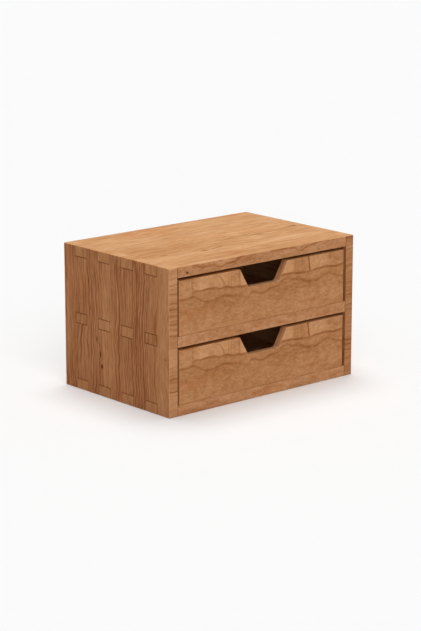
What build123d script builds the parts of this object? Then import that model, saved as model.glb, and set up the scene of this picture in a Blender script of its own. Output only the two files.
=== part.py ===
from build123d import *
import os
from math import radians, tan

# A small chest with two drawers, in solid wood. It stands on z = 0, with its width along X,
# its depth along Y and its front towards -Y. The origin is the middle of its footprint.
# All sizes are in millimetres.

# Case: two sides, a top, a shelf and a bottom of one thickness, joined by through tenons.
case_width = 300.0
case_depth = 200.0
board = 13.0
bay_height = 70.5
tenon_width = 22.2
tenons_per_end = 4
edge_round = 1.0
seam_chamfer = 0.3
joint_gap = 0.05

# Back panel, held in a groove in the sides, the top and the bottom.
back_thickness = 4.0
back_inset = 8.0
back_groove = 5.0
panel_gap = 0.1
panel_room = 0.3

# Drawers: each slides on the board below it and stops against the back panel.
drawer_names = ["lower_drawer", "upper_drawer"]
side_gap = 3.0
top_gap = 3.9
slide_gap = 0.2
front_recess = 0.7
stop_gap = 0.3
front_thickness = 10.0
wall = 8.0
front_lip = 4.0
corner_fingers = 7
drawer_corner_round = 1.0
drawer_edge_round = 0.6
bottom_thickness = 3.0
bottom_groove = 4.0
bottom_raise = 5.0

# Finger notch in the top edge of each drawer front. The slope is in degrees from upright.
notch_width = 77.0
notch_depth = 24.0
notch_slope = 30.0
notch_floor_round = 4.5
notch_mouth_round = 1.5

# How far a cut runs past the faces that it leaves through, and how near an edge is to its plane.
cut_past = 1.0
plane_tolerance = 0.0001

# Sizes that follow from the ones above.
case_height = len(drawer_names) * (bay_height + board) + board
inner_half_width = case_width / 2 - board
front_plane = -case_depth / 2
back_panel_front = case_depth / 2 - back_inset - back_thickness
drawer_half_width = inner_half_width - side_gap
drawer_half_inside = drawer_half_width - wall
drawer_height = bay_height - top_gap - slide_gap
drawer_front_plane = front_plane + front_recess
drawer_front_rear = drawer_front_plane + front_thickness
drawer_rear_plane = back_panel_front - stop_gap
drawer_back_front = drawer_rear_plane - wall


def block(x, y, z):
    """A box from pairs of low and high limits along X, Y and Z."""
    size = [high - low for low, high in (x, y, z)]
    middle = [(high + low) / 2 for low, high in (x, y, z)]
    return Pos(*middle) * Box(*size)


def grown(limits, by):
    """A pair of limits, moved apart on each side."""
    return (limits[0] - by, limits[1] + by)


def on_plane(items, axis, position):
    """The edges or vertices that lie in the plane across an axis at a position."""
    return items.filter_by_position(axis, position - plane_tolerance, position + plane_tolerance)


# Case


def tenon_spans():
    """Low and high limits of each tenon along the depth, evenly spread over it."""
    space = (case_depth - tenons_per_end * tenon_width) / (tenons_per_end + 1)
    starts = [front_plane + space + i * (tenon_width + space) for i in range(tenons_per_end)]
    return [(start, start + tenon_width) for start in starts]


def board_levels():
    """Low and high limits of the bottom, the shelf and the top along the height."""
    pitch = bay_height + board
    return [(i * pitch, i * pitch + board) for i in range(len(drawer_names) + 1)]


def case_outline():
    """The whole case as one block with eased edges, which trims every board."""
    solid = block(
        (-case_width / 2, case_width / 2),
        (-case_depth / 2, case_depth / 2),
        (0, case_height),
    )
    return fillet(solid.edges(), edge_round)


def panel_block(room, gap):
    """The back panel's block, short of its groove's floor by room and thicker by a gap each side."""
    reach = back_groove - room
    return block(
        grown((-inner_half_width, inner_half_width), reach),
        grown((back_panel_front, back_panel_front + back_thickness), gap),
        grown((board, case_height - board), reach),
    )


def tenon(span, level):
    """One row's tenon right across the case, with its end edges eased."""
    solid = block((-case_width / 2, case_width / 2), span, level)
    left_end = on_plane(solid.edges(), Axis.X, -case_width / 2)
    right_end = on_plane(solid.edges(), Axis.X, case_width / 2)
    return chamfer(left_end + right_end, seam_chamfer)


def horizontal_board(level, rear):
    """A top, shelf or bottom that ends at the rear plane, with a row of tenons at each end."""
    solid = block((-inner_half_width, inner_half_width), (front_plane, rear), level)
    solid = chamfer(on_plane(solid.edges(), Axis.Y, front_plane), seam_chamfer)
    for span in tenon_spans():
        solid += tenon(span, level)
    return (solid & case_outline()) - panel_block(0, panel_gap)


def side_board(side):
    """A side with its sockets for the tenons. side is -1 on the left and 1 on the right."""
    outer = side * case_width / 2
    inner = side * inner_half_width
    across = (min(outer, inner), max(outer, inner))
    solid = block(across, (-case_depth / 2, case_depth / 2), (0, case_height))
    for low, high in board_levels():
        # The lowest and highest rows of sockets are open at the ends of the side.
        if low == 0:
            low = -cut_past
        if high >= case_height:
            high = case_height + cut_past
        for span in tenon_spans():
            socket = block(grown(across, cut_past), grown(span, joint_gap), grown((low, high), joint_gap))
            solid -= socket
    mouths = on_plane(solid.edges(), Axis.X, outer)
    front_seam = on_plane(on_plane(solid.edges(), Axis.Y, front_plane), Axis.X, inner)
    solid = chamfer(mouths + front_seam, seam_chamfer)
    return (solid & case_outline()) - panel_block(0, panel_gap)


def build_case():
    """The six pieces of the case, by name."""
    bottom, shelf, top = board_levels()
    return {
        "left_side": side_board(-1),
        "right_side": side_board(1),
        "bottom_board": horizontal_board(bottom, case_depth / 2),
        "middle_shelf": horizontal_board(shelf, back_panel_front - panel_gap),
        "top_board": horizontal_board(top, case_depth / 2),
        "back_panel": panel_block(panel_room, 0),
    }


# Drawers, each drawn with its lower edge at z = 0


def comb(x, y, first):
    """The blocks that a board loses at a corner, for the other board's fingers."""
    pitch = drawer_height / corner_fingers
    spans = [(i * pitch, (i + 1) * pitch) for i in range(first, corner_fingers, 2)]
    return Part() + [block(x, y, grown(span, joint_gap)) for span in spans]


def bottom_block(room, gap):
    """A drawer bottom's block, short of its groove's floor by room and thicker by a gap each side."""
    reach = bottom_groove - room
    return block(
        grown((-drawer_half_inside, drawer_half_inside), reach),
        grown((drawer_front_rear, drawer_back_front), reach),
        grown((bottom_raise, bottom_raise + bottom_thickness), gap),
    )


def plain_profile():
    """The drawer seen from the front: a rectangle with eased corners."""
    low_middle = (Align.CENTER, Align.MIN)
    return RectangleRounded(2 * drawer_half_width, drawer_height, drawer_corner_round, align=low_middle)


def notched_profile():
    """The drawer front's own outline, with the finger notch in its top edge."""
    lean = tan(radians(notch_slope))
    half_mouth = notch_width / 2
    half_floor = half_mouth - notch_depth * lean
    half_past = half_mouth + cut_past * lean
    floor = drawer_height - notch_depth
    left = [(-half_past, drawer_height + cut_past), (-half_floor, floor)]
    right = [(half_floor, floor), (half_past, drawer_height + cut_past)]
    profile = plain_profile() - make_face(Polyline(*left, *right, close=True))
    profile = fillet(on_plane(profile.vertices(), Axis.Y, floor), notch_floor_round)
    top = on_plane(profile.vertices(), Axis.Y, drawer_height)
    mouth = on_plane(top, Axis.X, half_mouth) + on_plane(top, Axis.X, -half_mouth)
    return fillet(mouth, notch_mouth_round)


def drawer_prism(profile, front, rear):
    """A profile of the drawer, carried along the depth from a rear plane to a front one."""
    plane = Plane(origin=(0, rear, 0), x_dir=(1, 0, 0), z_dir=(0, -1, 0))
    return extrude(plane * profile, rear - front)


def drawer_outline():
    """The whole drawer as one block with eased edges, which trims the sides and the back."""
    solid = drawer_prism(plain_profile(), drawer_front_plane, drawer_rear_plane)
    return fillet(on_plane(solid.edges(), Axis.Y, drawer_rear_plane), drawer_edge_round)


def corner_sockets(y, first):
    """The combs for both ends of a board that runs across the drawer."""
    left = comb((-drawer_half_width - cut_past, -drawer_half_inside), y, first)
    right = comb((drawer_half_inside, drawer_half_width + cut_past), y, first)
    return left + right


def drawer_front():
    """The front: the notch, sockets at the back for the sides' fingers, and the groove."""
    solid = drawer_prism(notched_profile(), drawer_front_plane, drawer_front_rear)
    solid = fillet(on_plane(solid.edges(), Axis.Y, drawer_front_plane), drawer_edge_round)
    solid -= corner_sockets((drawer_front_plane + front_lip, drawer_front_rear + cut_past), 0)
    rear_edges = on_plane(solid.edges(), Axis.Y, drawer_front_rear)
    inside = rear_edges.filter_by_position(
        Axis.X, -drawer_half_inside + plane_tolerance, drawer_half_inside - plane_tolerance
    )
    upper = inside.filter_by_position(
        Axis.Z, drawer_height - notch_depth - plane_tolerance, drawer_height + plane_tolerance
    )
    return fillet(upper, drawer_edge_round) - bottom_block(0, panel_gap)


def drawer_side(side):
    """A side: fingers at both ends, and the groove. side is -1 on the left and 1 on the right."""
    outer = side * drawer_half_width
    inner = side * drawer_half_inside
    across = (min(outer, inner), max(outer, inner))
    front = drawer_front_plane + front_lip
    solid = block(across, (front, drawer_rear_plane), (0, drawer_height))
    inner_rim = on_plane(on_plane(solid.edges(), Axis.Z, drawer_height), Axis.X, inner)
    solid = fillet(inner_rim, drawer_edge_round)
    solid -= comb(grown(across, cut_past), (front - cut_past, drawer_front_rear), 1)
    solid -= comb(grown(across, cut_past), (drawer_back_front, drawer_rear_plane + cut_past), 1)
    return (solid & drawer_outline()) - bottom_block(0, panel_gap)


def drawer_back():
    """The back: the other half of the rear corners' fingers, and the groove."""
    deep = (drawer_back_front, drawer_rear_plane)
    solid = block((-drawer_half_width, drawer_half_width), deep, (0, drawer_height))
    inner_rim = on_plane(on_plane(solid.edges(), Axis.Z, drawer_height), Axis.Y, drawer_back_front)
    solid = fillet(inner_rim, drawer_edge_round)
    solid -= corner_sockets(grown(deep, cut_past), 0)
    return (solid & drawer_outline()) - bottom_block(0, panel_gap)


def build_drawer():
    """The five pieces of one drawer, by name."""
    return {
        "front": drawer_front(),
        "left_side": drawer_side(-1),
        "right_side": drawer_side(1),
        "back": drawer_back(),
        "bottom": bottom_block(panel_room, 0),
    }


def main():
    os.makedirs("parts", exist_ok=True)
    pieces = build_case()
    drawer = build_drawer()
    for name, (low, high) in zip(drawer_names, board_levels()):
        for piece, solid in drawer.items():
            pieces[f"{name}_{piece}"] = Pos(0, 0, high + slide_gap) * solid
    for name, solid in pieces.items():
        export_step(solid, f"parts/{name}.step")


main()
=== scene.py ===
import math

import bpy
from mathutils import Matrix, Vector


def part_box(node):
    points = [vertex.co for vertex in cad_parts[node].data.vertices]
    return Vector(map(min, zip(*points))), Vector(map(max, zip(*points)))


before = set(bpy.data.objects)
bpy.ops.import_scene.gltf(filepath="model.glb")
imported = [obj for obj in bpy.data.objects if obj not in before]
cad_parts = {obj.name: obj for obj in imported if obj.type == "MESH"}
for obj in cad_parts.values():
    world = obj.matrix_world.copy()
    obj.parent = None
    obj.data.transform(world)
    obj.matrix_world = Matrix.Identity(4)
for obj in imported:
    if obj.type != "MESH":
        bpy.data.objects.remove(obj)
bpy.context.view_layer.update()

# The scene is in metres. Sizes and places on the case are in mm.
MM = 0.001
SIDE_LOW, SIDE_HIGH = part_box("left_side")
CASE_WIDTH = -2 * SIDE_LOW[0] / MM
HALF_DEPTH = SIDE_HIGH[1] / MM
HALF_HEIGHT = SIDE_HIGH[2] / 2 / MM
SEAM_X = -SIDE_HIGH[0] / MM
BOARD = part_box("bottom_board")[1][2] / MM
LEVEL_PITCH = (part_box("middle_shelf")[1][2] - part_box("bottom_board")[1][2]) / MM
TENON_WIDTH = 22.2
TENONS_PER_END = 4
TENON_PITCH = (2 * HALF_DEPTH + TENON_WIDTH) / (TENONS_PER_END + 1)
WHITE = (1.0, 1.0, 1.0, 1.0)


# Camera

AZIMUTH = math.radians(-41.055)
ELEVATION = math.radians(13.838)
CAMERA_DISTANCE = 2.5828
CAMERA_TARGET = Vector((0.00091, 0.0, 0.08192))
CAMERA_REACH = 100.0
FOCAL_LENGTH_PX = 2073.6
IMAGE_HEIGHT_PX = 631
SENSOR_MM = 36.0


def add_camera():
    """The photograph's camera: it looks down at the front's left corner from in front."""
    level = math.cos(ELEVATION)
    back = Vector((math.sin(AZIMUTH) * level, -math.cos(AZIMUTH) * level, math.sin(ELEVATION)))
    data = bpy.data.cameras.new("camera")
    data.sensor_width = SENSOR_MM
    data.lens = FOCAL_LENGTH_PX * SENSOR_MM / IMAGE_HEIGHT_PX
    data.clip_end = CAMERA_REACH
    camera = bpy.data.objects.new("camera", data)
    camera.location = CAMERA_TARGET + back * CAMERA_DISTANCE
    camera.rotation_mode = "QUATERNION"
    camera.rotation_quaternion = (-back).to_track_quat("-Z", "Y")
    bpy.context.scene.collection.objects.link(camera)
    bpy.context.scene.camera = camera


# Shader graphs


class Graph:
    """Adds nodes to one node tree, so that a surface is written as a formula."""

    def __init__(self, tree):
        self.tree = tree
        tree.nodes.clear()

    def node(self, kind, inputs=(), **settings):
        """A new node. Its inputs, by name or number, are given as values or as other nodes' outputs."""
        made = self.tree.nodes.new(kind)
        for key, value in settings.items():
            setattr(made, key, value)
        for key, value in dict(inputs).items():
            if isinstance(value, bpy.types.NodeSocket):
                self.tree.links.new(value, made.inputs[key])
            else:
                made.inputs[key].default_value = value
        return made

    def math(self, operation, *values, clamp=False):
        inputs = dict(enumerate(values))
        return self.node("ShaderNodeMath", inputs, operation=operation, use_clamp=clamp).outputs[0]

    def chain(self, operation, first, *others):
        """One operation, carried through all the values."""
        result = first
        for other in others:
            result = self.math(operation, result, other)
        return result

    def add(self, *values):
        return self.chain("ADD", *values)

    def subtract(self, a, b):
        return self.math("SUBTRACT", a, b)

    def multiply(self, *values):
        return self.chain("MULTIPLY", *values)

    def multiply_add(self, value, factor, offset, clamp=False):
        """The value times the factor, plus the offset."""
        return self.math("MULTIPLY_ADD", value, factor, offset, clamp=clamp)

    def largest(self, *values):
        return self.chain("MAXIMUM", *values)

    def absolute(self, value):
        return self.math("ABSOLUTE", value)

    def step(self, value, low, high, to_low=0.0, to_high=1.0):
        """A smooth step from to_low at low to to_high at high."""
        inputs = {0: value, 1: low, 2: high, 3: to_low, 4: to_high}
        return self.node("ShaderNodeMapRange", inputs, interpolation_type="SMOOTHSTEP").outputs[0]

    def join(self, x, y, z):
        return self.node("ShaderNodeCombineXYZ", {0: x, 1: y, 2: z}).outputs[0]

    def split(self, vector):
        return self.node("ShaderNodeSeparateXYZ", {0: vector}).outputs

    def scaled(self, vector, scale):
        inputs = {0: vector, 1: (scale, scale, scale)}
        return self.node("ShaderNodeVectorMath", inputs, operation="MULTIPLY").outputs[0]

    def noise(self, vector, detail=2.0, roughness=0.5, distortion=0.0):
        """Noise about 0, mostly from -1 to 1."""
        inputs = {"Vector": vector, "Scale": 1.0, "Detail": detail}
        inputs |= {"Roughness": roughness, "Distortion": distortion}
        made = self.node("ShaderNodeTexNoise", inputs)
        return self.multiply_add(made.outputs["Fac"], 4.0, -2.0)

    def mix(self, factor, a, b, blend="MIX"):
        """Colour a at factor 0, and at factor 1 its blend with colour b, which for MIX is b alone."""
        inputs = {"Factor": factor, 6: a, 7: b}
        return self.node("ShaderNodeMix", inputs, data_type="RGBA", blend_type=blend).outputs[2]

    def tinted(self, colour, factor, tint):
        """The colour times a tint, by a factor from 0 to 1."""
        return self.mix(factor, colour, tint, "MULTIPLY")


def linear(red, green, blue, light=1.0, sheen=0.0):
    """A colour seen as 0-255 sRGB under a given light and sheen, as the surface's own colour."""

    def channel(value):
        # The sRGB curve, followed backwards.
        value /= 255.0
        value = value / 12.92 if value <= 0.04045 else ((value + 0.055) / 1.055) ** 2.4
        return max(value - sheen, 0.0) / light

    return (channel(red), channel(green), channel(blue), 1.0)


# Stage and light

FLOOR_SIZE = 60.0
FLOOR_BOUNCE = (0.55, 0.55, 0.55, 1.0)
FLOOR_SEEN = (0.88, 0.88, 0.88, 1.0)
FLOOR_GLOW = 0.06
WORLD_LIGHT = 0.22
WORLD_SEEN = 1.0
LAMPS = [
    # name, direction from the object to the lamp, strength, spread in degrees
    ("overhead", (0.10, 0.15, 1.0), 1.88, 38.0),
    ("fill", (-0.6, -1.0, 0.95), 0.98, 44.0),
    ("low", (-0.8, -1.0, 0.28), 0.30, 20.0),
]


def seen_directly(g):
    """1 for the rays that show a thing itself, in the picture or in a reflection."""
    path = g.node("ShaderNodeLightPath").outputs
    return g.largest(path["Is Camera Ray"], path["Is Glossy Ray"], path["Is Transmission Ray"])


def add_floor():
    """A plain white floor that keeps the object's shadow. It throws less light back than it shows."""
    bpy.ops.mesh.primitive_plane_add(size=FLOOR_SIZE)
    floor = bpy.context.object
    floor.name = "floor"
    material = bpy.data.materials.new("floor")
    material.use_nodes = True
    g = Graph(material.node_tree)
    seen = seen_directly(g)
    bounce = g.node("ShaderNodeBsdfDiffuse", {"Color": FLOOR_BOUNCE})
    shadowed = g.node("ShaderNodeBsdfDiffuse", {"Color": FLOOR_SEEN})
    plain = g.node("ShaderNodeEmission", {"Color": WHITE, "Strength": FLOOR_GLOW})
    shown = g.node("ShaderNodeAddShader", {0: shadowed.outputs[0], 1: plain.outputs[0]})
    surface = g.node("ShaderNodeMixShader", {0: seen, 1: bounce.outputs[0], 2: shown.outputs[0]})
    g.node("ShaderNodeOutputMaterial", {"Surface": surface.outputs[0]})
    floor.data.materials.append(material)


def add_world():
    """A pale even surround, which the camera sees as white."""
    world = bpy.data.worlds.new("studio")
    bpy.context.scene.world = world
    world.use_nodes = True
    g = Graph(world.node_tree)
    strength = g.multiply_add(seen_directly(g), WORLD_SEEN - WORLD_LIGHT, WORLD_LIGHT)
    surround = g.node("ShaderNodeBackground", {"Color": WHITE, "Strength": strength})
    g.node("ShaderNodeOutputWorld", {"Surface": surround.outputs[0]})


def add_lamps():
    """A lamp overhead, a fill from the left in front, and a faint low one that reaches the notches."""
    for name, toward, strength, spread in LAMPS:
        data = bpy.data.lights.new(name, "SUN")
        data.energy = strength
        data.angle = math.radians(spread)
        lamp = bpy.data.objects.new(name, data)
        lamp.rotation_mode = "QUATERNION"
        lamp.rotation_quaternion = Vector(toward).to_track_quat("Z", "Y")
        bpy.context.scene.collection.objects.link(lamp)


# Wood

# The light and the sheen that the faces get in the picture.
TOP_LIGHT = (0.989, 0.047)
FRONT_LIGHT = (0.661, 0.008)
SIDE_LIGHT = (0.578, 0.010)

VEIN_TINT = (0.44, 0.23, 0.08, 1.0)
KNOT_TINT = (0.24, 0.08, 0.03, 1.0)
ROSY_TINT = (0.98, 0.80, 0.62, 1.0)
# Painted shade in the grooves between the boards, and the dark glue lines round the tenons.
SEAM_SHADE_AND_GLUE_TINT = (0.34, 0.19, 0.10, 1.0)
# Wear and a painted highlight: the eased edges are tinted paler and cooler, as if they caught the light.
WEAR_AND_HIGHLIGHT_TINT = (1.28, 1.38, 1.50, 1.0)

# How squarely a surface faces along an axis, from 0 to 1. It counts as that axis's face from the
# first range up, and as an eased edge from the second range down.
ON_FACE = (0.69, 0.73)
ON_EASED_EDGE = (0.80, 0.985)

# Where a ring is darkest and where it starts to end, as parts of the way to the next ring.
RING_DARKEST = 0.84
RING_ENDING = 0.86

SEED_STEP = 7.3
SPECULAR = 0.07
BUMP = {"Strength": 0.3, "Distance": 0.00005}
# How much the roughness changes with the tone and with the wear.
TONE_ROUGHNESS = -0.12
WORN_ROUGHNESS = 0.12


class Wood(Graph):
    """One board's surface, in mm. Its figure is drawn apart on the faces across X, Y and Z."""

    def __init__(self, name, seed):
        self.material = bpy.data.materials.new(name)
        self.material.use_nodes = True
        super().__init__(self.material.node_tree)
        place = self.node("ShaderNodeTexCoord").outputs["Object"]
        self.x, self.y, self.z = self.split(self.scaled(place, 1 / MM))
        self.seed = seed
        normal = self.split(self.node("ShaderNodeNewGeometry").outputs["True Normal"])
        slopes = [self.absolute(part) for part in normal]
        self.slope_x, self.slope_y, self.slope_z = slopes
        self.faces_x, self.faces_y, self.faces_z = (self.step(slope, *ON_FACE) for slope in slopes)

    def field(self, along, across, long_scale, cross_scale, **settings):
        """Noise that is stretched along the grain. The scales are features per mm."""
        self.seed += SEED_STEP
        u = self.multiply(along, long_scale)
        v = self.multiply(across, cross_scale)
        return self.noise(self.join(u, v, self.seed), **settings)

    def flow(self, along, across, sway, waver):
        """The across coordinate, bent as the grain wanders, by so many mm."""
        slow = self.multiply(self.field(along, across, 0.011, 0.008, detail=1.0), sway)
        quick = self.multiply(self.field(along, across, 0.05, 0.012, detail=1.0), waver)
        return self.add(across, slow, quick)

    def zone(self, value, low, high, soft):
        """1 between two limits, falling to 0 over a soft distance at each."""
        rise = self.step(value, low - soft, low + soft)
        return self.multiply(rise, self.step(value, high - soft, high + soft, 1.0, 0.0))

    def line(self, off, half_width, strength=1.0):
        """A soft line where a distance is 0."""
        return self.step(self.absolute(off), 0.0, half_width, strength, 0.0)

    def lines(self, value, places, half_width, strength=1.0):
        """Soft lines across a coordinate, one for each pair of a place and its own strength."""
        return [self.line(self.subtract(value, at), half_width, strength * own) for at, own in places]

    def spot(self, u, v, at, radii, strength):
        """A round or long spot with soft edges."""
        a = self.multiply(self.subtract(u, at[0]), 1 / radii[0])
        b = self.multiply(self.subtract(v, at[1]), 1 / radii[1])
        reach = self.math("SQRT", self.add(self.multiply(a, a), self.multiply(b, b)))
        return self.step(reach, 0.3, 1.0, strength, 0.0)

    def spots(self, u, v, rows):
        """The strongest of several spots."""
        return self.largest(*(self.spot(u, v, *row) for row in rows))

    def curve(self, u, points, low, high):
        """A value that follows given points (u, value), for u across the case's width."""
        start = self.multiply_add(u, 1 / CASE_WIDTH, 0.5)
        made = self.node("ShaderNodeFloatCurve", {"Value": start})
        drawn = made.mapping.curves[0].points
        span = high - low
        for index, (place, value) in enumerate(points):
            at = (place / CASE_WIDTH + 0.5, (value - low) / span)
            # A new curve has two points already.
            if index < 2:
                drawn[index].location = at
            else:
                drawn.new(*at)
        made.mapping.update()
        return self.multiply_add(made.outputs[0], span, low)

    def rings(self, along, level, spacing, unevenness=0.8, start=0.3, faintest=0.1):
        """Late wood: lines that darken slowly and end sharply, about so many mm apart."""
        drift = self.field(along, level, 0.002, 0.35 / spacing, detail=1.0)
        laps = self.add(self.multiply(level, 1 / spacing), self.multiply(drift, unevenness))
        phase = self.math("FRACT", laps)
        rise = self.step(phase, start, RING_DARKEST)
        line = self.multiply(rise, self.step(phase, RING_ENDING, 1.0, 1.0, 0.0))
        change = self.field(along, level, 0.02, 0.6 / spacing, detail=2.0)
        return self.multiply(line, self.step(change, -0.9, 0.8, faintest, 1.0))

    def fibre(self, along, across, amount=0.2):
        """Fine short fibres, about 0."""
        return self.multiply(self.field(along, across, 0.07, 0.9, detail=4.0, roughness=0.65), amount)

    def straight(self, along, across, amount=1.0):
        """Straight grain: broad streaks, narrow ones and soft clouds, about 0."""
        broad = self.multiply(self.field(along, across, 0.007, 0.07), 0.12)
        narrow = self.multiply(self.field(along, across, 0.025, 0.34, detail=3.0), 0.18)
        cloud = self.multiply(self.field(along, across, 0.016, 0.03), 0.10)
        return self.multiply(self.add(broad, narrow, cloud, self.fibre(along, across)), amount)

    def mottled(self, along, across):
        """Flat-sawn grain: soft clouds and small soft flecks, about 0."""
        cloud = self.multiply(self.field(along, across, 0.025, 0.05, detail=2.0, distortion=0.6), 0.12)
        patch = self.multiply(self.field(along, across, 0.09, 0.16, detail=2.0), 0.09)
        fleck = self.multiply(self.field(along, across, 0.22, 0.40, detail=4.0, roughness=0.6), 0.21)
        return self.add(cloud, patch, fleck)

    def flecks(self, along, across, long_scale, cross_scale, amount):
        """Scattered short dark dashes."""
        found = self.field(along, across, long_scale, cross_scale, detail=1.0)
        return self.step(found, 0.75, 1.25, 0.0, amount)

    def by_face(self, on_x, on_y, on_z):
        """Takes the value for the face that a point is on."""
        value = self.multiply(self.faces_x, on_x)
        value = self.add(value, self.multiply(self.faces_y, on_y))
        return self.add(value, self.multiply(self.faces_z, on_z))

    def shades(self, on_x, on_y, on_z):
        """The dark and the light colour for the face that a point is on."""
        pairs = []
        for x_colour, y_colour, z_colour in zip(on_x, on_y, on_z):
            colour = self.mix(self.faces_y, x_colour, y_colour)
            pairs.append(self.mix(self.faces_z, colour, z_colour))
        return pairs

    def worn_and_highlit_edges(self, seam_shade_and_glue):
        """Patchy wear and a painted highlight on the eased edges, where a surface faces between two of the
        axes.
        """
        steepest = self.largest(self.slope_x, self.slope_y, self.slope_z)
        eased = self.multiply(self.step(steepest, *ON_EASED_EDGE, 1.0, 0.0), self.subtract(1.0, seam_shade_and_glue))
        patchiness = self.field(self.add(self.x, self.y), self.z, 0.05, 0.05, detail=3.0)
        return self.multiply(eased, self.step(patchiness, -0.9, 0.9, 0.25, 1.0))

    def finish(self, shades, tone, veins, knots, rosy, seam_shade_and_glue=0.0, roughness=0.6):
        """Colours the surface from its tone, 0 on average, and its dark and rosy marks."""
        # The eased edges get wear and a painted highlight.
        wear_and_highlight = self.worn_and_highlit_edges(seam_shade_and_glue)
        colour = self.mix(self.math("ADD", tone, 0.5, clamp=True), *shades)
        tints = [
            (rosy, ROSY_TINT),
            (veins, VEIN_TINT),
            (knots, KNOT_TINT),
            (wear_and_highlight, WEAR_AND_HIGHLIGHT_TINT),
            (seam_shade_and_glue, SEAM_SHADE_AND_GLUE_TINT),
        ]
        for factor, tint in tints:
            colour = self.tinted(colour, factor, tint)
        rough = self.multiply_add(tone, TONE_ROUGHNESS, roughness)
        rough = self.multiply_add(wear_and_highlight, WORN_ROUGHNESS, rough, clamp=True)
        relief = self.subtract(self.multiply(tone, 0.5), self.add(veins, knots))
        bump = self.node("ShaderNodeBump", BUMP | {"Height": relief})
        inputs = {"Base Color": colour, "Roughness": rough, "Normal": bump.outputs[0]}
        surface = self.node("ShaderNodeBsdfPrincipled", inputs | {"Specular IOR Level": SPECULAR})
        self.node("ShaderNodeOutputMaterial", {"Surface": surface.outputs[0]})
        return self.material


def tones(dark, light, seen_in):
    """The dark and light ends of a wood's tone, from colours seen in a given light."""
    return (linear(*dark, *seen_in), linear(*light, *seen_in))


SIDE_FACE = tones((105, 55, 26), (173, 124, 87), SIDE_LIGHT)
FRONT_EDGE = tones((138, 84, 42), (202, 153, 114), FRONT_LIGHT)
TOP_FACE = tones((180, 122, 74), (234, 188, 144), TOP_LIGHT)
TENON_END = tones((120, 70, 36), (178, 131, 94), SIDE_LIGHT)
DRAWER_FACE = tones((134, 80, 38), (202, 152, 110), FRONT_LIGHT)
DRAWER_END = tones((137, 88, 54), (189, 140, 103), FRONT_LIGHT)
PALE_WOOD = (linear(188, 132, 84), linear(233, 185, 137))
PANEL_WOOD = (linear(182, 118, 74), linear(224, 165, 115))


# Seams between the case's boards: painted shade in their grooves, and glue lines

GLUE_HALF_WIDTH = 1.1
INNER_SEAM_HALF_WIDTH = 0.8
# How squarely a groove's slope faces along X.
GROOVE_SLOPE = (0.64, 0.78)
# Grooves are left out nearer than this to the outer faces, where the case has its own rounds.
PAST_ROUNDS = (1.2, 1.6)


def from_nearest(w, value, first, pitch):
    """How far a coordinate is from the nearest of evenly spaced places."""
    lap = w.math("FRACT", w.multiply_add(value, 1 / pitch, 0.5 - first / pitch))
    return w.multiply(w.absolute(w.subtract(lap, 0.5)), pitch)


def tenon_outline(w):
    """A dark glue line round each tenon's end, broken here and there."""
    beside = w.subtract(from_nearest(w, w.y, TENON_PITCH / 2, TENON_PITCH), TENON_WIDTH / 2)
    above = w.subtract(from_nearest(w, w.z, BOARD / 2, LEVEL_PITCH), BOARD / 2)
    glue = w.step(w.field(w.y, w.z, 0.06, 0.06), -0.8, 0.5, 0.25, 0.75)
    return w.multiply(w.line(w.largest(beside, above), GLUE_HALF_WIDTH), glue)


def clear_of_rounds(w, value, half_size):
    """1 away from the case's rounded outer edges, for a coordinate from the middle of the case."""
    near, far = PAST_ROUNDS
    return w.step(w.absolute(value), half_size - far, half_size - near, 1.0, 0.0)


def case_seam_shade_and_glue(w):
    """Painted shade in the fine grooves round the tenons and along the boards' ends, none on the outer
    rounds, and the glue lines.
    """
    slope = w.zone(w.slope_x, *GROOVE_SLOPE, 0.02)
    clear_front = clear_of_rounds(w, w.y, HALF_DEPTH)
    clear_level = clear_of_rounds(w, w.subtract(w.z, HALF_HEIGHT), HALF_HEIGHT)
    # The painted shade is full in the level grooves and a little over half as strong in the upright ones.
    level_lines = w.multiply_add(w.step(w.slope_z, 0.3, 0.6), 0.45, 0.55)
    tenons = w.multiply(clear_front, clear_level, level_lines)
    inner_edge = w.line(w.subtract(w.absolute(w.x), SEAM_X), INNER_SEAM_HALF_WIDTH)
    grooves = w.multiply(slope, w.largest(tenons, w.step(inner_edge, 0.1, 0.3)))
    return w.largest(grooves, w.multiply(tenon_outline(w), w.faces_x))


# Sides

LEFT_VEINS = [
    # place at the foot, half way up and at the top, half width, strength, from height, to height
    (-70, -68, -66, 1.0, 0.4, 4, 84),
    (-48, -50, -50, 1.2, 0.5, 4, 90),
    (-42, -45, -40, 1.4, 0.65, 60, 175),
    (-36, -41, -37, 1.7, 0.85, 4, 175),
    (-10, -12, -13, 1.2, 0.4, 112, 172),
    (-4, -8, -2, 2.0, 0.88, 3, 176),
    (39, 36, 33, 1.2, 0.5, 4, 92),
    (47, 44, 52, 1.5, 0.65, 4, 166),
    (64, 62, 71, 1.3, 0.55, 16, 168),
]
LEFT_KNOTS = [
    # place along the depth and height, radii, strength
    ((27.0, 37.5), (2.8, 4.6), 1.0),
    ((29.6, 52.0), (1.7, 7.0), 0.9),
    ((36.4, 70.0), (2.1, 6.0), 0.75),
    ((52.0, 140.0), (1.6, 6.5), 0.45),
    ((-93.5, 70.0), (3.0, 1.2), 0.5),
]
LEFT_EDGE_LINES = [
    # height, strength
    (160, 0.5), (149, 0.7), (138, 0.6), (131, 0.75), (122, 0.5), (116.5, 0.6), (112.5, 0.7),
    (107, 0.45), (99, 0.9), (92, 0.4), (60, 0.3), (46, 0.85), (42, 0.4), (31, 0.9),
]
RIGHT_EDGE_LINES = [
    (151, 0.5), (142, 0.6), (134, 0.3), (121, 0.5), (111, 0.45), (106, 0.6), (102.5, 0.5), (92, 0.7),
    (84, 0.7), (74, 0.35), (47.5, 0.95), (42, 0.7), (35, 0.6), (22, 0.3), (8, 0.3),
]
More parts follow.
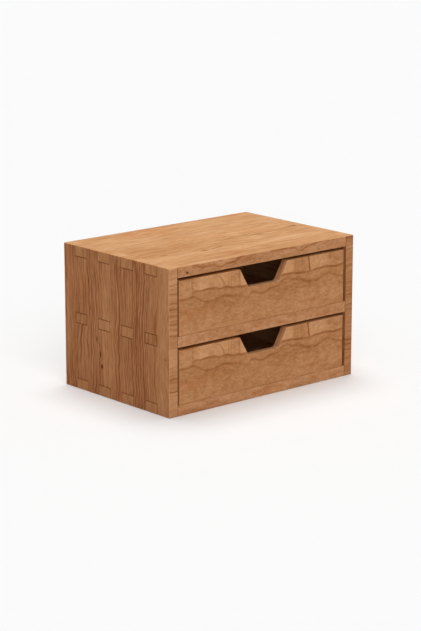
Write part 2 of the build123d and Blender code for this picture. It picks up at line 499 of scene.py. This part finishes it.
LEFT_EDGE_TONES = [
    # height above the middle, tone
    (-90, 0.05), (-65, 0.05), (-60, -0.02), (-40, -0.06), (-32, -0.02), (-28, 0.08), (-10, 0.08),
    (-5, 0.0), (10, -0.03), (40, -0.06), (62, -0.03), (72, 0.04), (90, 0.06),
]
RIGHT_EDGE_TONES = [
    (-90, -0.02), (-58, -0.02), (-54, -0.06), (-42, -0.06), (-37, 0.08), (-10, 0.08), (-6, -0.04),
    (58, -0.04), (64, 0.08), (90, 0.08),
]
EDGE_LINE_HALF_WIDTH = 1.5
EDGE_LINE_STRENGTH = 0.8
# Places along the depth. Rings lie close in the dense part. They are faint in the calm strip, and
# at the front, up to where they grow stronger.
DENSE_PART = (-64.0, -14.0)
CALM_FRONT = (-84.0, -68.0)
CALM_STRIP = (8.0, 24.0)
CLOSE_SPACING = 4.4
BROAD_SPACING = 5.6
FINE_SPACING = 2.1
EDGE_SPACING = 6.2


def side_rings(w, across, calm):
    """The rings of a side: close ones in its dense part, broad ones elsewhere, fine ones between."""
    dense = w.zone(w.y, *DENSE_PART, 6.0)
    close = w.multiply(w.rings(w.z, across, CLOSE_SPACING, 0.5, start=0.4, faintest=0.5), dense)
    elsewhere = w.multiply_add(dense, -0.86, 0.86)
    broad = w.multiply(w.rings(w.z, across, BROAD_SPACING, start=0.5), elsewhere)
    fine = w.multiply(w.rings(w.z, w.add(across, 3.0), FINE_SPACING, start=0.35), 0.38)
    return w.multiply(w.largest(close, broad, fine), w.multiply_add(calm, -0.65, 1.0))


def side_tone(w, across, calm):
    """The tone of a side's broad faces. It is darker on the inner one, a painted shade for the gaps beside
    the drawers.
    """
    by_depth = w.step(w.y, -90.0, 90.0, 0.14, 0.08)
    grain = w.add(w.straight(w.z, across, 0.8), w.fibre(w.z, across, 0.3))
    # Painted shade: the inner face is darker, so that the gaps beside the drawers look shaded.
    inner = w.step(w.absolute(w.x), SEAM_X + 0.5, SEAM_X + 1.5, -0.25, 0.0)
    return w.add(grain, w.multiply(calm, 0.09), by_depth, inner)


def left_veins(w, across):
    """The strong veins of the left side. Each runs up through three places, bent like a bow."""
    height = w.multiply(w.z, 1 / HALF_HEIGHT)
    bend = w.multiply(height, w.subtract(height, 2.0))
    drawn = []
    for foot, middle, top, half_width, strength, low, high in LEFT_VEINS:
        lean = w.multiply(height, (top - foot) / 2)
        place = w.add(foot, lean, w.multiply(bend, (foot + top) / 2 - middle))
        vein = w.line(w.subtract(across, place), half_width, strength)
        drawn.append(w.multiply(vein, w.zone(w.z, low, high, 10.0)))
    return w.largest(*drawn)


def side_edge(w, base_tone, height_tones, line_places):
    """The tone and the marks of a side's front edge, where the rings cross it in low arches."""
    arch = w.multiply(w.field(w.z, w.x, 0.03, 0.06, detail=1.0), 1.6)
    level = w.add(w.z, arch)
    by_height = w.curve(w.subtract(w.z, HALF_HEIGHT), height_tones, -0.2, 0.2)
    tone = w.add(w.straight(w.x, level, 0.9), by_height, base_tone)
    rings = w.multiply(w.rings(w.x, level, EDGE_SPACING, 1.4, start=0.45), 0.35)
    lines = w.lines(level, line_places, EDGE_LINE_HALF_WIDTH, EDGE_LINE_STRENGTH)
    return tone, w.largest(rings, *lines)


def side_wood(name, seed, marked, edge_tone, height_tones, edge_lines):
    """A side, with upright grain. marked adds the strong veins and knots of the left side."""
    w = Wood(name, seed)
    across = w.flow(w.z, w.y, 4.5, 1.2)
    across = w.add(across, w.multiply(w.field(w.z, w.y, 0.12, 0.05, detail=2.0), 0.45))
    calm = w.largest(w.step(w.y, *CALM_FRONT, 1.0, 0.0), w.zone(w.y, *CALM_STRIP, 5.0))
    rings = side_rings(w, across, calm)
    face = side_tone(w, across, calm)
    veins = w.largest(rings, w.flecks(w.z, across, 0.10, 1.2, 0.35))
    knots = 0.0
    if marked:
        veins = w.largest(veins, left_veins(w, across))
        knots = w.multiply(w.spots(w.y, w.z, LEFT_KNOTS), w.faces_x)
    edge, edge_marks = side_edge(w, edge_tone, height_tones, edge_lines)
    cap = w.add(w.straight(w.x, w.y), 0.05)
    tone = w.by_face(face, edge, cap)
    marks = w.by_face(veins, edge_marks, 0.0)
    blush = w.step(w.field(w.z, across, 0.012, 0.035, detail=1.0), 0.1, 1.1, 0.0, 0.5)
    rosy = w.multiply(blush, w.subtract(1.0, w.faces_z), w.multiply_add(calm, -0.7, 1.0))
    shades = w.shades(SIDE_FACE, FRONT_EDGE, TOP_FACE)
    return w.finish(shades, tone, marks, knots, rosy, case_seam_shade_and_glue(w))


# Top board, shelf and bottom board

TOP_STREAKS = [
    # from x, to x, y at both ends, half width, strength
    (-149, -85, -5, -4, 3.2, 0.4),
    (-135, -82, -23, -15, 3.0, 0.45),
    (13, 75, -15, -8, 3.2, 0.4),
    (38, 70, -22, -17, 2.8, 0.5),
    (-40, -17, -49, -42, 3.0, 0.65),
    (-130, -60, -91, -90, 3.4, 0.4),
    (-45, 60, -88, -86, 3.4, 0.35),
    (-128, -70, 28, 31, 3.2, 0.3),
    (104, 148, -14, -5, 3.2, 0.5),
]
TOP_SPOTS = [
    # place along x and y, radii, strength
    ((-52.0, -50.0), (9.0, 4.0), 0.7),
    ((-107.0, -40.0), (10.0, 4.0), 0.5),
    ((64.0, -21.0), (9.0, 3.6), 0.5),
    ((134.0, -9.0), (9.0, 4.4), 0.6),
    ((21.0, 97.0), (6.0, 4.0), 0.6),
    ((66.0, 95.0), (13.0, 3.0), 0.4),
]
TOP_EDGE_ARC = [
    # x, height
    (-150, 181), (-120, 181), (-109, 179), (-98, 175), (-82, 175), (-69, 171.2), (-62, 173.5),
    (-52, 174), (-42, 177.5), (-32, 180.5), (-24, 183), (6, 183), (13, 179), (48, 178), (54, 174),
    (60, 173), (68, 175.5), (84, 178), (100, 181), (150, 181),
]
TOP_EDGE_KNOT = ((-122.0, 171.5), (3.0, 2.0), 0.95)
SHELF_SPOTS = [
    # place along x and height, radii, strength
    ((-125.0, 89.0), (14.0, 3.5), 0.35),
    ((-55.0, 90.0), (12.0, 3.0), 0.3),
    ((-11.0, 90.0), (9.0, 3.6), 1.0),
    ((28.0, 88.5), (10.0, 3.6), 1.0),
    ((60.0, 92.0), (14.0, 2.6), 0.3),
    ((92.0, 88.0), (9.0, 3.0), 0.4),
    ((127.0, 87.0), (8.0, 3.0), 0.4),
]
FOOT_SPOTS = [
    ((-122.0, 4.0), (8.0, 3.2), 0.5),
    ((-93.0, 3.5), (6.0, 2.6), 0.35),
    ((-60.0, 4.0), (7.0, 2.8), 0.3),
    ((-15.0, 5.5), (10.0, 3.4), 0.95),
    ((26.0, 6.5), (6.0, 3.4), 0.8),
    ((45.0, 3.5), (6.0, 2.8), 0.7),
    ((84.0, 8.0), (8.0, 3.6), 0.75),
    ((117.0, 4.0), (10.0, 3.0), 0.6),
]
SHELF_END_LINES = [
    # place along the depth, strength
    (-77.0, 0.5), (-70.0, 0.5), (-62.0, 0.6), (-56.0, 0.5),
    (56.5, 0.4), (63.0, 0.35), (70.0, 0.4), (77.0, 0.3),
]
SHELF_END_TONES = [
    # place along the depth, tone
    (-100, -0.12), (-52, -0.12), (-45, 0.0), (45, 0.0), (52, -0.08), (100, -0.08),
]
END_LINE_HALF_WIDTH = 1.5
# A broad darker patch on the boards' upper and lower faces.
FACE_SHADE = ((-75.0, -35.0), (130.0, 70.0), -0.14)
# A paler band along X, between two places along the depth.
FACE_BAND = (-68.0, -51.0)
FACE_SPACING = 8.0


def board_face(w):
    """The tone and the marks of a board's broad faces."""
    across = w.flow(w.x, w.y, 3.0, 1.0)
    streaks = w.multiply(w.field(w.x, across, 0.03, 0.24, detail=5.0, roughness=0.65), 0.27)
    shade = w.spot(w.x, w.y, *FACE_SHADE)
    band = w.multiply(w.zone(w.y, *FACE_BAND, 4.0), 0.14)
    tone = w.add(w.straight(w.x, across, 0.8), streaks, band, shade, 0.05)
    rings = w.multiply(w.rings(w.x, across, FACE_SPACING, 1.2), 0.25)
    return tone, w.largest(rings, w.flecks(w.x, across, 0.07, 0.30, 0.5))


def board_edge(w, base_tone):
    """The tone and the marks of a board's front and rear edges."""
    height = w.flow(w.x, w.z, 1.4, 0.5)
    clouds = w.multiply(w.mottled(w.x, height), 1.12)
    streaks = w.multiply(w.field(w.x, height, 0.02, 0.16), 0.12)
    return w.add(clouds, streaks, base_tone), w.flecks(w.x, height, 0.06, 0.4, 0.35)


def edge_spots(w, spots, front):
    """Rosy spots with frayed edges on a board's front edge."""
    frayed = w.step(w.field(w.x, w.z, 0.15, 0.3, detail=2.0), -1.2, 0.2)
    return w.multiply(w.spots(w.x, w.z, spots), w.faces_y, front, frayed)


def placed_streak(w, across, start, end, first, last, half_width, strength):
    """A dark streak along X between two ends, each at its own y."""
    lean = (last - first) / (end - start)
    place = w.multiply_add(w.x, lean, first - start * lean)
    drawn = w.line(w.subtract(across, place), half_width, strength)
    return w.multiply(drawn, w.zone(w.x, start, end, 6.0))


def top_marks(w):
    """The top board's own streaks and spots."""
    across = w.flow(w.x, w.y, 0.8, 0.9)
    streaks = [placed_streak(w, across, *streak) for streak in TOP_STREAKS]
    return w.largest(*streaks, w.spots(w.x, w.y, TOP_SPOTS))


def from_arc(w):
    """How far a point of the top board's front edge is above the arcs that cross it."""
    wobble = w.multiply(w.field(w.x, w.z, 0.1, 0.1), 0.3)
    return w.subtract(w.add(w.z, wobble), w.curve(w.x, TOP_EDGE_ARC, 160, 190))


def board_end(w, end_lines, end_tones):
    """The tone and the marks of a board's tenon ends."""
    tone = w.multiply(w.field(w.y, w.z, 0.25, 0.05, detail=3.0), 0.18)
    tone = w.add(tone, w.fibre(w.z, w.y, 0.15))
    if end_tones:
        tone = w.add(tone, w.curve(w.y, end_tones, -0.3, 0.3))
    flecks = w.flecks(w.z, w.y, 0.12, 0.5, 0.35)
    return tone, w.largest(flecks, *w.lines(w.y, end_lines, END_LINE_HALF_WIDTH))


def board_wood(name, seed, edge_tone, shown=False, spots=(), end_lines=(), end_tones=()):
    """A board with its grain along X. shown adds the marks of the top board."""
    w = Wood(name, seed)
    top, face_marks = board_face(w)
    edge, edge_marks = board_edge(w, edge_tone)
    front = w.step(w.y, -60.0, 60.0, 1.0, 0.0)
    glow = 0.0
    knots = 0.0
    if spots:
        glow = edge_spots(w, spots, front)
        edge_marks = w.largest(edge_marks, w.multiply(glow, 0.15))
    if shown:
        face_marks = w.largest(face_marks, top_marks(w))
        arc = from_arc(w)
        arc_marks = w.multiply(w.line(arc, 2.2, 0.42), front)
        edge_marks = w.largest(w.multiply(edge_marks, 0.6), arc_marks)
        glow = w.multiply(w.line(arc, 3.6, 0.5), w.faces_y, front)
        knots = w.multiply(w.spot(w.x, w.z, *TOP_EDGE_KNOT), w.faces_y, front)
    end, end_marks = board_end(w, end_lines, end_tones)
    tone = w.by_face(end, edge, top)
    marks = w.by_face(end_marks, edge_marks, face_marks)
    blotch = w.field(w.x, w.add(w.y, w.z), 0.018, 0.05, distortion=0.8)
    rosy = w.largest(w.step(blotch, 0.0, 1.2, 0.0, 0.6), glow)
    shades = w.shades(TENON_END, FRONT_EDGE, TOP_FACE)
    return w.finish(shades, tone, marks, knots, rosy, case_seam_shade_and_glue(w))


# Drawer fronts

BAND_EDGE = [
    # x, depth below the rim
    (-150, 23), (-116, 22.5), (-113, 17), (-107, 16.2), (-98, 16.7), (-88, 15.7), (-77, 16.2),
    (-70, 18.2), (-62, 17.2), (-52, 19.2), (-42, 20.2), (-30, 21), (30, 16.5), (47, 16.7), (55, 18.2),
    (78, 18.9), (93, 17.2), (104, 16.7), (120, 18.5), (133, 16.7), (150, 16.7),
]
BAND_TONES = [
    # x, tone
    (-150, 0.0), (-118, 0.02), (-108, 0.1), (-95, 0.27), (-82, 0.2), (-70, 0.14), (-60, 0.22),
    (-50, 0.18), (-44, 0.12), (-40, 0.05), (-36, 0.2), (36, 0.22), (46, 0.16), (50, -0.03), (60, -0.08),
    (71, -0.04), (78, 0.10), (95, 0.10), (115, 0.02), (150, -0.02),
]
BAND_LINES = [
    # x at the rim, its lean and its bend with the depth, half width, strength
    (-113.6, -0.22, 0.02, 1.8, 0.35),
    (-79.0, 2.1, -0.075, 2.0, 0.5),
    (-57.0, 0.0, 0.0, 1.2, 0.25),
    (-52.5, 0.0, 0.0, 1.2, 0.2),
    (-47.5, 0.0, 0.0, 1.2, 0.25),
    (-40.0, 0.05, 0.0, 2.2, 0.33),
    (51.5, 0.0, 0.0, 2.2, 0.3),
    (73.4, 0.16, 0.0, 1.9, 0.9),
]
LOWER_WAVE = [
    # x, depth below the rim
    (-150, 24), (-132, 23.7), (-122, 23.2), (-114, 22.2), (-108, 24.7), (-100, 27.7), (-94, 30.7),
    (-87, 31.4), (-79, 30.2), (-70, 28.7), (-62, 28.2), (-52, 30.7), (-42, 31.7), (-32, 33.7),
    (-25, 36.2), (-21, 30.2), (-12, 31.7), (-2, 34.4), (8, 30.7), (18, 29.2), (27, 27.7), (32, 22.7),
    (38, 22.2), (48, 24.7), (58, 25.4), (66, 28.7), (72, 30.7), (88, 31.4), (94, 28.7), (107, 25.7),
    (116, 28.2), (124, 30.7), (134, 33), (150, 34),
]
DEPTH_LIMIT = 40
BAND_LINE_HALF_WIDTH = 2.4
WAVE_HALF_WIDTH = 3.0
LOWER_SPACING = 3.6


def front_tone(w, depth, band, below_band):
    """The tone of a drawer front: clouds all over, and the band's own tones and stripes."""
    stripes = w.multiply(w.field(w.x, depth, 0.35, 0.012, detail=3.0), 0.11)
    in_band = w.multiply(band, w.add(w.curve(w.x, BAND_TONES, -1, 1), stripes))
    lower = w.multiply(w.step(depth, 34.0, 60.0, -0.08, 0.02), below_band)
    return w.add(w.mottled(w.x, depth), in_band, lower)


def front_waves(w, depth, off_band, off_wave):
    """The two wavy lines, which are fainter here and there, and small flecks."""
    band_strength = w.step(w.field(w.x, depth, 0.06, 0.05, detail=2.0), -0.7, 0.7, 0.45, 0.78)
    wave_strength = w.step(w.field(w.x, depth, 0.05, 0.05, detail=2.0), -0.7, 0.7, 0.38, 0.42)
    band_strength = w.multiply(band_strength, w.step(w.x, -118.0, -108.0, 0.1, 1.0))
    band_line = w.multiply(w.line(off_band, BAND_LINE_HALF_WIDTH), band_strength)
    wave_line = w.multiply(w.line(off_wave, WAVE_HALF_WIDTH), wave_strength)
    return w.largest(band_line, wave_line, w.flecks(w.x, depth, 0.14, 0.35, 0.3))


def band_lines(w, depth):
    """The steep lines in the band. Each starts at the rim and leans and bends with the depth."""
    drawn = []
    for at_rim, lean, bend, half_width, strength in BAND_LINES:
        place = w.multiply_add(depth, w.multiply_add(depth, bend, lean), at_rim)
        drawn.append(w.line(w.subtract(w.x, place), half_width, strength))
    return w.largest(*drawn)


def lower_rings(w, depth):
    """Faint uneven rings for the part below the band."""
    swell = w.multiply(w.field(w.x, depth, 0.014, 0.02, detail=1.0), 14.0)
    return w.multiply(w.rings(w.x, w.add(depth, swell), LOWER_SPACING, start=0.4), 0.16)


def drawer_front_wood(name, seed, rim):
    """A drawer front: a pale band along the rim, two wavy lines and a mottled lower part."""
    w = Wood(name, seed)
    depth = w.subtract(rim, w.z)
    wander = w.multiply(w.field(w.x, depth, 0.09, 0.07, detail=2.0), 0.55)
    off_band = w.add(w.subtract(depth, w.curve(w.x, BAND_EDGE, 0, DEPTH_LIMIT)), wander)
    off_wave = w.add(w.subtract(depth, w.curve(w.x, LOWER_WAVE, 0, DEPTH_LIMIT)), wander)
    band = w.step(off_band, -0.8, 0.4, 1.0, 0.0)
    below_band = w.subtract(1.0, band)
    face = front_tone(w, depth, band, below_band)
    waves = front_waves(w, depth, off_band, off_wave)
    upper = w.multiply(band_lines(w, depth), band)
    lower = w.multiply(lower_rings(w, depth), below_band)
    rest = w.straight(w.x, w.flow(w.x, w.y, 1.0, 0.5))
    # Painted shade on the rim, which lies in the gap under the board above, and painted light on the
    # upward faces lower down, such as the notch floor.
    painted_rim_shade_and_lower_light = w.step(depth, 0.5, 12.0, -0.16, 0.12)
    tone = w.by_face(w.subtract(rest, 0.10), face, w.add(rest, painted_rim_shade_and_lower_light))
    marks = w.by_face(0.0, w.largest(waves, w.add(upper, lower)), 0.0)
    blush = w.field(w.x, depth, 0.025, 0.05, distortion=1.0)
    rosy = w.largest(w.step(blush, 0.0, 1.2, 0.0, 0.7), w.multiply(marks, 0.3))
    shades = w.shades(DRAWER_END, DRAWER_FACE, TOP_FACE)
    return w.finish(shades, tone, marks, 0.0, rosy, roughness=0.58)


# Drawer boxes and back panel

BOX_SPACING = 8.0
PANEL_SPACING = 11.0


def inner_wood(name, seed, along_depth):
    """A drawer's side or back in a paler wood, with its grain along the board."""
    w = Wood(name, seed)
    along = w.y if along_depth else w.x
    across = w.flow(along, w.z, 2.0, 0.7)
    face = w.straight(along, across)
    marks = w.multiply(w.rings(along, across, BOX_SPACING), 0.3)
    ends = w.multiply(w.field(w.add(w.x, w.y), w.z, 0.3, 0.3, detail=3.0), 0.2)
    tone = w.by_face(face, ends, face) if along_depth else w.by_face(ends, face, face)
    rosy = w.step(w.field(along, across, 0.01, 0.04), 0.0, 1.2, 0.0, 0.3)
    return w.finish(PALE_WOOD, tone, marks, 0.0, rosy, roughness=0.64)


def panel_wood(name, seed, shades):
    """A thin panel with its grain along X."""
    w = Wood(name, seed)
    across = w.flow(w.x, w.add(w.y, w.z), 4.0, 1.0)
    tone = w.straight(w.x, across)
    marks = w.multiply(w.rings(w.x, across, PANEL_SPACING), 0.3)
    rosy = w.step(w.field(w.x, across, 0.008, 0.03), 0.0, 1.2, 0.0, 0.3)
    return w.finish(shades, tone, marks, 0.0, rosy, roughness=0.65)


# Woods for the nodes

DRAWER_SEED = 400.0
DRAWER_SEED_STEP = 300.0


def case_woods():
    """The woods of the case's six pieces, by node."""
    shelf = {"spots": SHELF_SPOTS, "end_lines": SHELF_END_LINES, "end_tones": SHELF_END_TONES}
    return {
        "left_side": side_wood("left_side_wood", 3.1, True, 0.02, LEFT_EDGE_TONES, LEFT_EDGE_LINES),
        "right_side": side_wood("right_side_wood", 51.7, False, -0.12, RIGHT_EDGE_TONES, RIGHT_EDGE_LINES),
        "top_board": board_wood("top_board_wood", 112.3, -0.02, shown=True),
        "middle_shelf": board_wood("middle_shelf_wood", 167.9, 0.01, **shelf),
        "bottom_board": board_wood("bottom_board_wood", 231.4, 0.04, spots=FOOT_SPOTS),
        "back_panel": panel_wood("back_panel_wood", 290.2, PANEL_WOOD),
    }


def drawer_woods(drawer, seed):
    """The woods of one drawer's five pieces, by node. Both fronts show the same figure."""
    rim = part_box(f"{drawer}_front")[1][2] / MM
    return {
        f"{drawer}_front": drawer_front_wood(f"{drawer}_front_wood", DRAWER_SEED, rim),
        f"{drawer}_left_side": inner_wood(f"{drawer}_left_side_wood", seed + 50.0, True),
        f"{drawer}_right_side": inner_wood(f"{drawer}_right_side_wood", seed + 100.0, True),
        f"{drawer}_back": inner_wood(f"{drawer}_back_wood", seed + 150.0, False),
        f"{drawer}_bottom": panel_wood(f"{drawer}_bottom_wood", seed + 200.0, PALE_WOOD),
    }


def finish_nodes():
    """Gives every node its own wood."""
    woods = case_woods()
    for index, drawer in enumerate(("lower_drawer", "upper_drawer")):
        woods |= drawer_woods(drawer, DRAWER_SEED + DRAWER_SEED_STEP * index)
    for name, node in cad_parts.items():
        node.data.materials.clear()
        node.data.materials.append(woods[name])


bpy.context.scene.view_settings.view_transform = "Standard"
add_camera()
add_floor()
add_world()
add_lamps()
finish_nodes()
